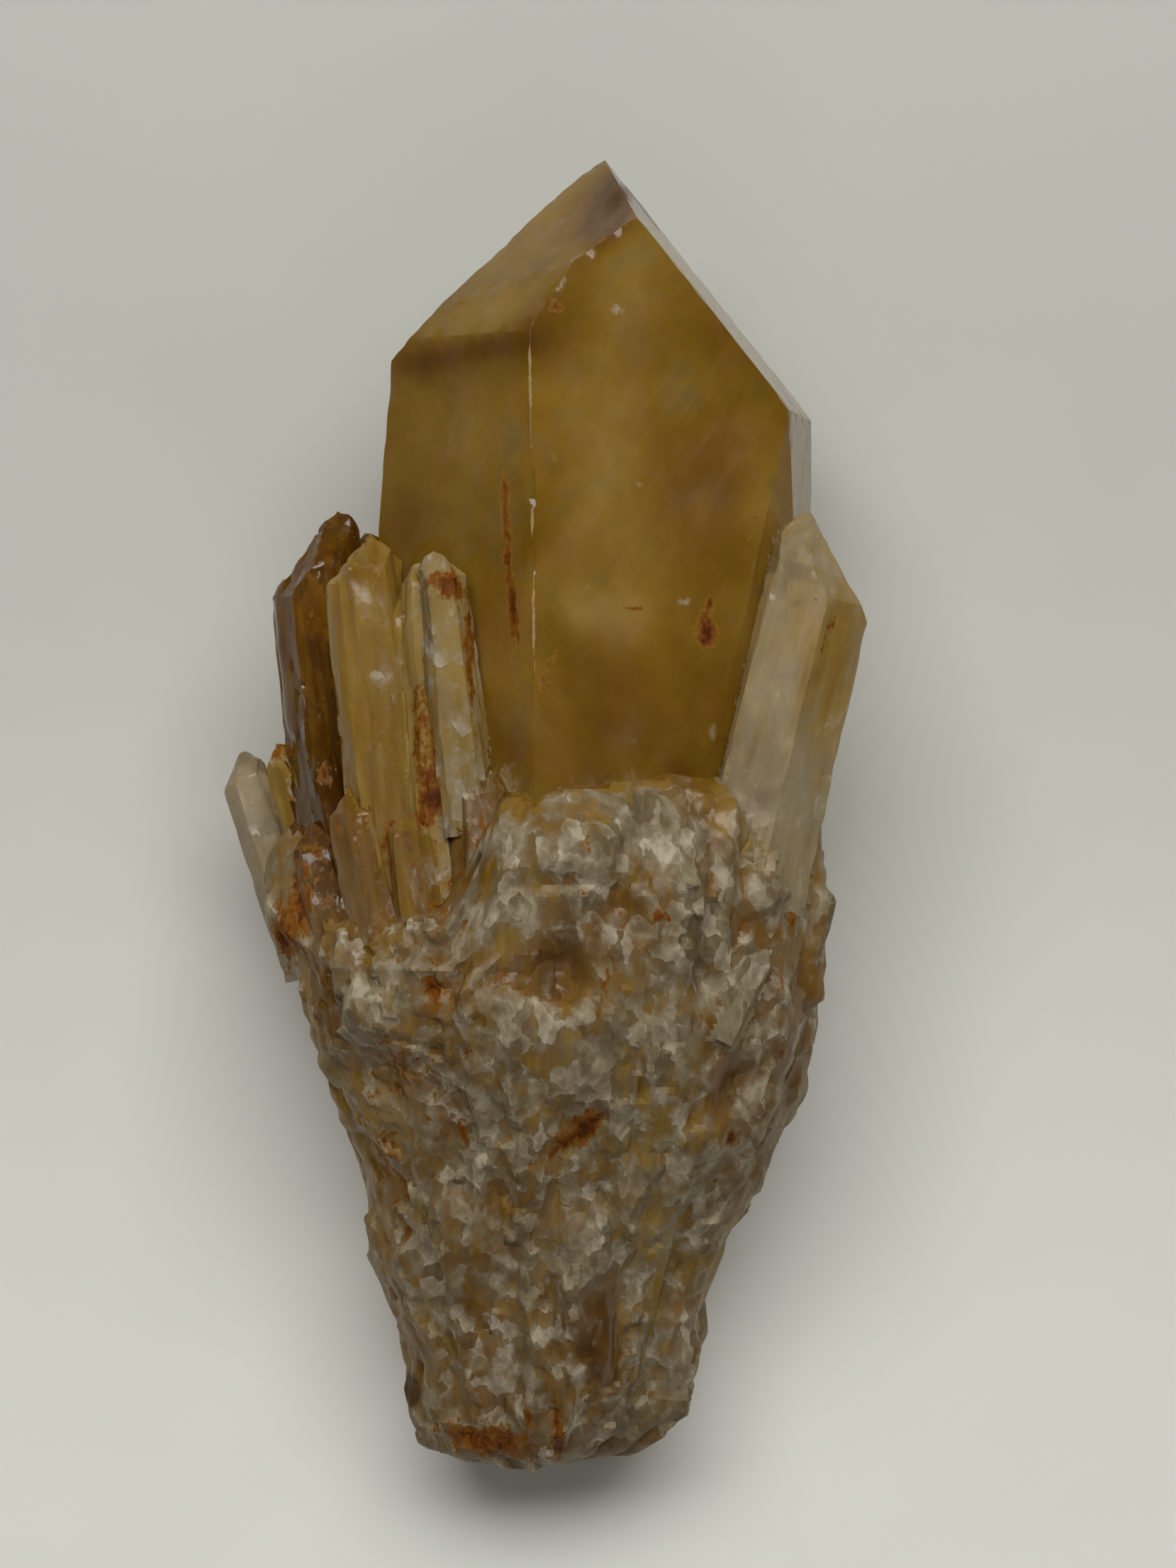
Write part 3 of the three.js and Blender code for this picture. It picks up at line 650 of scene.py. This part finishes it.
HAZY_PLACES = (
    (1.8, 26.0, 3.6, 8.0, 0, 0.22),
    (2.5, 36.0, 3.0, 2.5, 0, 0.15),
    (1.0, 12.8, 4.0, 1.8, 0, 0.25),
    (-10.0, 25.0, 4.0, 4.0, 0, 0.2),
    (-7.3, 34.4, 1.3, 6.0, -68, 0.15),
)
VEILED_PLACES = (
    (9.5, 25.0, 4.5, 6.0, 30, 0.5),
    (-8.0, 22.0, 3.5, 7.0, 0, 0.5),
    (3.0, 12.0, 7.0, 5.0, 0, 0.3),
)
AMBER_PLACES = (
    (10.0, 21.0, 3.2, 7.5, 12, 0.14),
    (7.5, -3.0, 1.8, 4.5, 12, 0.4),
    (-8.5, 31.4, 1.2, 5.5, 95, 0.35),
    (18.0, 8.0, 1.3, 7.0, -14, 0.3),
    (0.0, 4.0, 9.0, 4.0, 0, 0.1),
    (12.5, -20.5, 2.8, 5.2, -18, 0.45),
    # Deeper amber on the large point's tip face: partly its own colour, partly painted shade of that
    # face
    (2.2, 42.6, 1.6, 3.6, -28, 0.9),
    (-2.0, -13.0, 2.6, 3.6, 25, 0.2),
    (-4.0, -50.0, 7.0, 3.0, 0, 0.25),
    (0.8, -41.0, 2.2, 5.0, 4, 0.3),
    (17.0, 10.0, 1.2, 5.0, -14, 0.25),
    (14.0, 7.5, 1.8, 3.4, -14, -0.2),
    (14.2, -1.0, 2.6, 3.0, 0, -0.15),
    (-17.0, -5.5, 5.0, 7.0, 10, 0.15),
)
# Painted shade in the root's hollow and on the large point's tip face, and a few dark patches of the
# stone itself, in the same form
PAINTED_SHADE_AND_DARK_PLACES = (
    (-2.0, -13.6, 2.2, 2.8, 25, 0.5),
    (2.2, 42.8, 1.1, 2.6, -28, 0.7),
    (-8.5, 31.5, 0.8, 5.2, 95, 0.25),
    (0.8, -41.0, 1.8, 4.2, 4, 0.3),
    (16.6, 16.4, 0.2, 0.4, -20, 1.2),
    (-13.6, -46.6, 0.8, 1.3, 0, 1.6),
)
# Marks are only on the side that was seen, above this height
SEEN_ABOVE_Z = 9


def marks(places, table):
    """The strengths of the marks at each place, one on top of the other."""
    total = np.zeros(len(places))
    x, y, z = places.T
    for px, py, wide, long, turn, strength in table:
        a = math.radians(turn)
        u = (x - px) * math.cos(a) + (y - py) * math.sin(a)
        v = (y - py) * math.cos(a) - (x - px) * math.sin(a)
        total += strength * np.exp(-((u / wide) ** 2) - (v / long) ** 2)
    return total * smoothstep(SEEN_ABOVE_Z - 3, SEEN_ABOVE_Z + 3, z)


# The large point's number among the crystals
LARGE_POINT = 0


def owners(places, solids):
    """Which crystal each place is on, or -1 on the root."""
    nearest = np.full(len(places), -1)
    least = np.full(len(places), OWNED_WITHIN)
    for n, (planes, *_) in enumerate(solids):
        normals = np.array([p for p, _ in planes])
        distances = np.array([d for _, d in planes])
        off = np.abs((places @ normals.T - distances).max(axis=1))
        closer = off < least
        nearest[closer] = n
        least[closer] = off[closer]
    return nearest


MAIN_GRAIN = (0.1, 0.8, 0.1)
# The root's grain spreads from a line at this x and z, which it would meet at this y
FAN_X = -3
FAN_Y = -80
FAN_Z = 10
FAN_LENGTH = 60
# Sets the grain of one crystal apart from that of the next
GRAIN_SHIFT = 37.0


def grain_coordinates(places, owner, solids):
    """Places in directions of growth: along each crystal, and fanning out in the root."""
    x, y, z = places.T
    spread = FAN_LENGTH / (y - FAN_Y)
    grain = np.stack([(x - FAN_X) * spread, y, (z - FAN_Z) * spread], axis=-1)
    for n, (_, axis, _) in enumerate(solids):
        own = owner == n
        grain[own] = np.stack(axis.local(places[own]), axis=-1) + GRAIN_SHIFT * n
    # No lengthwise streaks on the large point
    grain[owner == LARGE_POINT] *= MAIN_GRAIN
    return grain


def hollowness(mesh, places, rounds=3):
    """Above 0 in furrows and where crystals meet, below 0 on ridges."""
    edges = np.empty(len(mesh.edges) * 2, int)
    mesh.edges.foreach_get("vertices", edges)
    a, b = edges.reshape(-1, 2).T
    counts = np.bincount(np.concatenate([a, b]), minlength=len(places)).astype(float)
    normals = normals_of(mesh)

    def around(values):
        total = np.zeros_like(values)
        np.add.at(total, a, values[b])
        np.add.at(total, b, values[a])
        return total / counts.reshape((-1,) + (1,) * (values.ndim - 1))

    smooth = places
    for _ in range(rounds):
        smooth = around(smooth)
    depth = ((smooth - places) * normals).sum(axis=1)
    for _ in range(2):
        depth = around(depth)
    return depth


def write_attribute(mesh, name, kind, domain, values):
    attribute = mesh.attributes.new(name, kind, domain)
    key = "vector" if kind == "FLOAT_VECTOR" else "value"
    attribute.data.foreach_set(key, np.ascontiguousarray(values, dtype=np.float32).ravel())


def edge_closeness(places, owner, solids):
    """1 on the edges of each crystal, and evenly less up to EDGE_REACH from them."""
    close = np.zeros(len(places))
    for n, (planes, *_) in enumerate(solids):
        own = owner == n
        depths = np.sort([d - places[own] @ normal for normal, d in planes], axis=0)
        close[own] = np.clip(1 - depths[1] / EDGE_REACH, 0, 1)
    return close


def write_looks(mesh, solids):
    """Stores how amber, hazy, milky, stained, worn and veiled each place is, and how much painted
    shade and dark patches it has.
    """
    loop_vertex = np.empty(len(mesh.loops), int)
    mesh.loops.foreach_get("vertex_index", loop_vertex)
    loop_totals = np.array([p.loop_total for p in mesh.polygons])
    centres = np.empty(len(mesh.polygons) * 3)
    mesh.polygons.foreach_get("center", centres)
    owner = np.repeat(owners(centres.reshape(-1, 3), solids), loop_totals)
    hollow = hollowness(mesh, coordinates(mesh))[loop_vertex]
    places = coordinates(mesh)[loop_vertex]
    x, y, z = places.T
    grain = grain_coordinates(places, owner, solids)
    write_attribute(mesh, "grain", "FLOAT_VECTOR", "CORNER", grain)

    small = [SMALL_LOOKS.get(n, USUAL_LOOKS) for n in range(len(SMALL_CRYSTALS))]
    looks = np.array([ROOT_LOOKS, MAIN_LOOKS, *small])[owner + 1]
    amber, haze, milk, stain, worn = looks.T
    on_root = owner < 0
    near_root = smoothstep(6, -4, y + 4 * noise(x / 3, y / 4, z / 3))
    near_root *= np.where(owner == LARGE_POINT, 1.1, 0.35)
    in_furrow = smoothstep(0.01, 0.10, hollow)
    on_ridge = smoothstep(0.01, 0.10, -hollow)
    patch = noise(x / 4.5 + 3, y / 7, z / 4.5)
    other_patch = noise(x / 5 + 20, y / 8 + 5, z / 5)
    at_end = on_root * smoothstep(-6, 1.5, y + 3 * noise(x / 2.5, y / 3, z / 2.5))
    amber = amber + marks(places, AMBER_PLACES) + on_root * (0.18 * other_patch - 0.2 * at_end)
    milk = milk + marks(places, MILKY_PLACES) + np.where(on_root, 0.3 * patch, near_root)
    milk += 0.22 * on_root * (on_ridge - in_furrow) - 0.5 * at_end
    haze = haze + marks(places, HAZY_PLACES)
    in_sheaf = smoothstep(-6, -9, x) * smoothstep(-12, -4, y) * smoothstep(12, 18, z)
    stain = stain + marks(places, STAINS) + (0.2 + 0.35 * in_sheaf) * in_furrow
    stain += 0.15 * on_root * smoothstep(0.2, 0.7, other_patch)
    # Painted shade: darker in furrows and where crystals meet, on top of the marks
    painted_shade_and_dark = marks(places, PAINTED_SHADE_AND_DARK_PLACES) + 0.5 * smoothstep(0.1, 0.3, hollow)
    edge = worn * edge_closeness(places, owner, solids)
    ridge = (owner == LARGE_POINT) * smoothstep(-2.5, -3.3, x) * smoothstep(-5.5, -4.7, x)
    ridge = ridge * smoothstep(34, 32, y) * smoothstep(6, 9, y)
    edge *= np.where(owner == LARGE_POINT, 0.5 + ridge, 1.0)
    veil = (owner == LARGE_POINT) * marks(places, VEILED_PLACES)
    values = dict(amber=amber, haze=haze, milk=milk, stain=stain, painted_shade_and_dark=painted_shade_and_dark, edge=edge, veil=veil)
    for name, value in values.items():
        write_attribute(mesh, name, "FLOAT", "CORNER", value)


SHARP_ABOVE_DEG = 26


def finish_mesh(obj):
    """Moves the grown shape to the frame, in metres, with sharp crystal edges."""
    mesh = obj.data
    places = (coordinates(mesh) + GROWN_TO_FRAME) * MM
    mesh.vertices.foreach_set("co", places.ravel())
    mesh.polygons.foreach_set("use_smooth", np.ones(len(mesh.polygons), bool))
    mesh.set_sharp_from_angle(angle=math.radians(SHARP_ABOVE_DEG))
    mesh.update()


class Shader:
    """Short ways to make and join the nodes of one material."""

    def __init__(self, name):
        self.material = bpy.data.materials.new(name)
        self.material.use_nodes = True
        self.tree = self.material.node_tree
        self.tree.nodes.clear()

    def node(self, kind, links=None, **settings):
        made = self.tree.nodes.new("ShaderNode" + kind)
        for key, value in settings.items():
            setattr(made, key, value)
        for key, value in (links or {}).items():
            self.put(made.inputs[key], value)
        return made

    def put(self, socket, value):
        if isinstance(value, bpy.types.NodeSocket):
            self.tree.links.new(value, socket)
        else:
            socket.default_value = value

    def math(self, operation, a, b=0.0):
        return self.node("Math", {0: a, 1: b}, operation=operation).outputs[0]

    def attribute(self, name, output="Fac"):
        return self.node("Attribute", attribute_name=name).outputs[output]

    def scaled(self, vector, scale):
        made = self.node("VectorMath", {0: vector, 1: scale}, operation="MULTIPLY")
        return made.outputs[0]

    def noise(self, vector, detail=3.0, roughness=0.55, distortion=0.0):
        links = {"Vector": vector, "Scale": 1.0, "Detail": detail}
        links |= {"Roughness": roughness, "Distortion": distortion}
        return self.node("TexNoise", links).outputs["Fac"]

    def noise_vector(self, vector):
        made = self.node("TexNoise", {"Vector": vector, "Scale": 1.0, "Detail": 2.0})
        return made.outputs["Color"]

    def between(self, value, low, high, to_low=0.0, to_high=1.0):
        links = {"Value": value, "From Min": low, "From Max": high}
        links |= {"To Min": to_low, "To Max": to_high}
        made = self.node("MapRange", links, interpolation_type="SMOOTHSTEP")
        return made.outputs["Result"]

    def mix(self, share, a, b):
        made = self.node("Mix", data_type="RGBA")
        self.put(made.inputs[0], share)
        self.put(made.inputs[6], a)
        self.put(made.inputs[7], b)
        return made.outputs[2]

    def blend(self, share, a, b):
        made = self.node("Mix", data_type="FLOAT")
        self.put(made.inputs[0], share)
        self.put(made.inputs[2], a)
        self.put(made.inputs[3], b)
        return made.outputs[0]

    def ramp(self, value, *stops):
        made = self.node("ValToRGB", {"Fac": value})
        elements = made.color_ramp.elements
        while len(elements) < len(stops):
            elements.new(1.0)
        for element, (at, colour) in zip(elements, stops):
            element.position = at
            element.color = (*colour, 1)
        return made.outputs["Color"]

    def sum(self, *parts):
        """The sum of parts given as (share, value)."""
        total = 0.0
        for share, value in parts:
            total = self.math("ADD", self.math("MULTIPLY", value, share), total)
        return total


QUARTZ_IOR = 1.544
# Faint veils inside the large point run across it at this angle, in radians
VEIL_TURN = 0.62
ABSORPTION_COLOUR = (0.80, 0.62, 0.10, 1)
ABSORPTION_DENSITY = 45.0
HAZE_COLOUR = (0.47, 0.37, 0.18, 1)
# Colour of the painted shade and of the dark patches
PAINTED_SHADE_AND_DARK_COLOUR = (0.06, 0.026, 0.006, 1)
WORN_COLOUR = (0.46, 0.37, 0.22, 1)
CLEAR_COLOURS = (
    (0.0, (0.66, 0.53, 0.33)),
    (0.3, (0.54, 0.37, 0.13)),
    (0.55, (0.48, 0.268, 0.017)),
    (0.8, (0.32, 0.14, 0.006)),
    (1.0, (0.18, 0.062, 0.003)),
)
MILK_COLOURS = (
    (0.2, (0.13, 0.083, 0.030)),
    (0.42, (0.17, 0.125, 0.065)),
    (0.62, (0.31, 0.25, 0.155)),
    (0.85, (0.58, 0.50, 0.37)),
)
RUST_COLOURS = (
    (0.0, (0.22, 0.10, 0.011)),
    (0.45, (0.20, 0.060, 0.005)),
    (1.0, (0.08, 0.020, 0.002)),
)
SPECULAR_LEVEL = 0.1
# Light that spreads below the surface: its share, and how far red, green and blue go
SPREAD_SHARE = 0.3
SPREAD_RADIUS = (1.0, 0.7, 0.35)
SPREAD_SCALE = 0.0015
BUMP_DISTANCE = 0.0006


def citrine_material():
    s = Shader("citrine")
    place = s.scaled(s.node("TexCoord").outputs["Object"], (1000, 1000, 1000))
    grain = s.attribute("grain", "Vector")
    names = ("amber", "haze", "milk", "stain", "painted_shade_and_dark", "edge", "veil")
    amber, haze, milk, stain, painted_shade_and_dark, edge, veiled = map(s.attribute, names)

    cloud = s.noise(s.scaled(place, (0.13, 0.10, 0.13)), 4.0, 0.55, 0.6)
    mottle = s.noise(s.scaled(place, (0.5, 0.38, 0.5)), 4.0, 0.55, 0.5)
    speck = s.noise(s.scaled(place, (1.7, 1.2, 1.7)), 2.0, 0.5, 0.3)
    fine = s.noise(s.scaled(place, (4.5, 3.5, 4.5)), 1.0, 0.5)
    streak = s.noise(s.scaled(grain, (1.3, 0.14, 1.3)), 3.0)
    warped = s.node("VectorMath", {0: s.scaled(place, (0.85, 0.6, 0.85))}, operation="ADD")
    s.put(warped.inputs[1], s.noise_vector(s.scaled(place, (0.9, 0.7, 0.9))))
    flakes = s.node("TexVoronoi", {"Vector": warped.outputs[0], "Scale": 1.0}).outputs
    cells = flakes["Distance"]
    flake = s.node("SeparateColor", {0: flakes["Color"]}).outputs["Red"]

    amber = s.sum((1.0, amber), (0.45, cloud), (0.5, mottle), (0.8, streak), (-0.875, 1.0))
    haze = s.sum((1.0, haze), (1.0, cloud), (0.5, mottle), (-0.75, 1.0))
    turned = s.node("VectorRotate", {"Vector": place, "Angle": VEIL_TURN}, rotation_type="Z_AXIS")
    veil = s.noise(s.scaled(turned.outputs[0], (1.4, 0.09, 0.25)), 4.0, 0.6)
    haze = s.sum((1.0, haze), (0.3, s.math("MULTIPLY", s.between(veil, 0.5, 0.75), veiled)))
    colour = s.ramp(amber, *CLEAR_COLOURS)
    colour = s.mix(s.between(haze, 0.2, 1.1, 0.0, 0.5), colour, HAZE_COLOUR)

    body = milk
    milk = s.sum((1.0, milk), (1.6, mottle), (0.3, speck), (0.5, streak), (0.35, flake), (-1.38, 1.0))
    milky = s.between(milk, 0.05, 0.75)
    white = s.sum((0.7, mottle), (0.3, flake), (0.3, speck), (0.12, cells), (-0.2, 1.0))
    white = s.ramp(white, *MILK_COLOURS)
    colour = s.mix(milky, colour, white)

    chipped = s.between(s.sum((1.0, edge), (0.8, speck), (-0.4, 1.0)), 0.85, 1.15, 0.0, 0.7)
    colour = s.mix(chipped, colour, WORN_COLOUR)
    # Painted shade in furrows, hollows and on the tip face, and the dark patches, darken the colour
    # here
    shade = s.between(s.sum((1.0, painted_shade_and_dark), (0.6, mottle), (-0.3, 1.0)), 0.2, 0.8, 0.0, 0.9)
    colour = s.mix(shade, colour, PAINTED_SHADE_AND_DARK_COLOUR)
    stain = s.sum((1.0, stain), (1.3, speck), (0.5, fine), (1.0, streak), (-1.4, 1.0))
    rusty = s.between(stain, 0.42, 0.72)
    colour = s.mix(rusty, colour, s.ramp(s.between(stain, 0.5, 1.3), *RUST_COLOURS))

    opaque = s.math("MAXIMUM", s.math("MULTIPLY", milky, 0.8), rusty)
    opaque = s.math("MAXIMUM", opaque, s.math("MAXIMUM", shade, chipped))
    glass = s.between(haze, 0.0, 1.0, 0.78, 0.3)
    transmission = s.math("MULTIPLY", glass, s.math("SUBTRACT", 1.0, opaque))
    clear_roughness = s.sum((1.0, s.between(body, -0.3, 0.5, 0.07, 0.3)), (0.08, speck))
    roughness = s.blend(opaque, clear_roughness, 0.55)

    height = s.sum((0.5, cells), (0.25, flake), (0.16, speck), (0.04, fine), (0.05, streak))
    strength = s.blend(s.math("MAXIMUM", milky, rusty), 0.08, 0.5)
    bump = s.node("Bump", {"Height": height, "Strength": strength, "Distance": BUMP_DISTANCE})

    shader = s.node("BsdfPrincipled", {
        "Base Color": colour,
        "Roughness": roughness,
        "IOR": QUARTZ_IOR,
        "Specular IOR Level": SPECULAR_LEVEL,
        "Transmission Weight": transmission,
        "Normal": bump.outputs["Normal"],
        "Subsurface Weight": SPREAD_SHARE,
        "Subsurface Radius": SPREAD_RADIUS,
        "Subsurface Scale": SPREAD_SCALE,
    })
    absorb = s.node("VolumeAbsorption", {"Color": ABSORPTION_COLOUR, "Density": ABSORPTION_DENSITY})
    output = s.node("OutputMaterial")
    s.put(output.inputs["Surface"], shader.outputs[0])
    s.put(output.inputs["Volume"], absorb.outputs[0])
    return s.material


# The floor's colour runs from darker beyond the specimen to lighter on the near side (-Y): a painted
# gradient of light on an even floor
FLOOR_PAINTED_DIM_COLOUR = (0.56, 0.56, 0.50, 1)
FLOOR_PAINTED_BRIGHT_COLOUR = (0.97, 0.96, 0.87, 1)
FLOOR_TURN_Y = 0.045
FLOOR_NEAR_Y = -0.075
FLOOR_SIZE = 2.0
FLOOR_ROUGHNESS = 0.6


def floor():
    bm = bmesh.new()
    bmesh.ops.create_grid(bm, x_segments=1, y_segments=1, size=FLOOR_SIZE)
    mesh = bpy.data.meshes.new("surface")
    bm.to_mesh(mesh)
    bm.free()
    obj = new_object("pale_surface", mesh)
    s = Shader("pale_surface")
    place = s.node("TexCoord").outputs["Object"]
    along = s.node("SeparateXYZ", {0: place}).outputs["Y"]
    # Painted light: the share of the lighter colour, rising towards the near side
    painted_light = s.between(along, FLOOR_TURN_Y, FLOOR_NEAR_Y)
    painted_light_tone = s.sum((1.0, painted_light), (0.1, s.noise(s.scaled(place, (60, 60, 60)), 4.0)), (-0.05, 1.0))
    colour = s.mix(painted_light_tone, FLOOR_PAINTED_DIM_COLOUR, FLOOR_PAINTED_BRIGHT_COLOUR)
    shader = s.node("BsdfPrincipled", {"Base Color": colour, "Roughness": FLOOR_ROUGHNESS})
    s.put(s.node("OutputMaterial").inputs["Surface"], shader.outputs[0])
    mesh.materials.append(s.material)


def area_light(name, place, aim, size, power):
    """A rectangular light, `size` wide and high, that faces `aim`."""
    light = bpy.data.lights.new(name, "AREA")
    light.shape = "RECTANGLE"
    light.size, light.size_y = size
    light.energy = power
    obj = bpy.data.objects.new(name, light)
    bpy.context.scene.collection.objects.link(obj)
    obj.location = place
    away = np.array(place, float) - np.array(aim, float)
    flat = math.hypot(away[0], away[1])
    obj.rotation_euler = (math.atan2(flat, away[2]), 0, math.atan2(away[0], -away[1]))


SKY_COLOUR = (1.0, 0.97, 0.92, 1)
SKY_AT_HORIZON = 0.2
SKY_ABOVE = 0.04
SKY_BAND = 0.4

# (name, place, aim, (width, height), power)
SOFTBOXES = (
    ("softbox_behind", (0, 0.27, 0.48), (0, 0, 0), (0.6, 0.24), 2.75),
    ("softbox_front", (0.05, -0.5, 0.5), (0, -0.03, 0), (0.5, 0.3), 0.4),
)


def lights():
    """A wide softbox beyond the tip, a weak one at the near side, and a dim surround that
    is brighter near the horizon."""
    world = bpy.data.worlds.new("studio")
    world.use_nodes = True
    tree = world.node_tree
    background = tree.nodes["Background"]
    background.inputs["Color"].default_value = SKY_COLOUR
    way = tree.nodes.new("ShaderNodeTexCoord")
    parts = tree.nodes.new("ShaderNodeSeparateXYZ")
    fade = tree.nodes.new("ShaderNodeMapRange")
    fade.interpolation_type = "SMOOTHSTEP"
    fade.inputs["From Min"].default_value = 0
    fade.inputs["From Max"].default_value = SKY_BAND
    fade.inputs["To Min"].default_value = SKY_AT_HORIZON
    fade.inputs["To Max"].default_value = SKY_ABOVE
    tree.links.new(way.outputs["Generated"], parts.inputs[0])
    tree.links.new(parts.outputs["Z"], fade.inputs["Value"])
    tree.links.new(fade.outputs["Result"], background.inputs["Strength"])
    bpy.context.scene.world = world
    for softbox in SOFTBOXES:
        area_light(*softbox)


CAMERA_HEIGHT_MM = 300
FOCAL_PX = 5300
FRAME_HEIGHT_PX = 2212
SENSOR_MM = 24


def camera():
    """Looks straight down on the middle of the grown shape."""
    data = bpy.data.cameras.new("camera")
    data.sensor_fit = "VERTICAL"
    data.sensor_height = SENSOR_MM
    data.lens = FOCAL_PX / FRAME_HEIGHT_PX * SENSOR_MM
    data.clip_start = 0.01
    obj = bpy.data.objects.new("camera", data)
    bpy.context.scene.collection.objects.link(obj)
    place = GROWN_TO_FRAME + np.array([0, 0, CAMERA_HEIGHT_MM])
    obj.location = place * MM
    bpy.context.scene.camera = obj


solids = list(crystals())
specimen = specimen_object()
write_looks(specimen.data, solids)
finish_mesh(specimen)
specimen.data.materials.clear()
specimen.data.materials.append(citrine_material())
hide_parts("citrine_cluster")
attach(specimen, "root")
floor()
lights()
camera()
bpy.context.scene.view_settings.view_transform = "Standard"
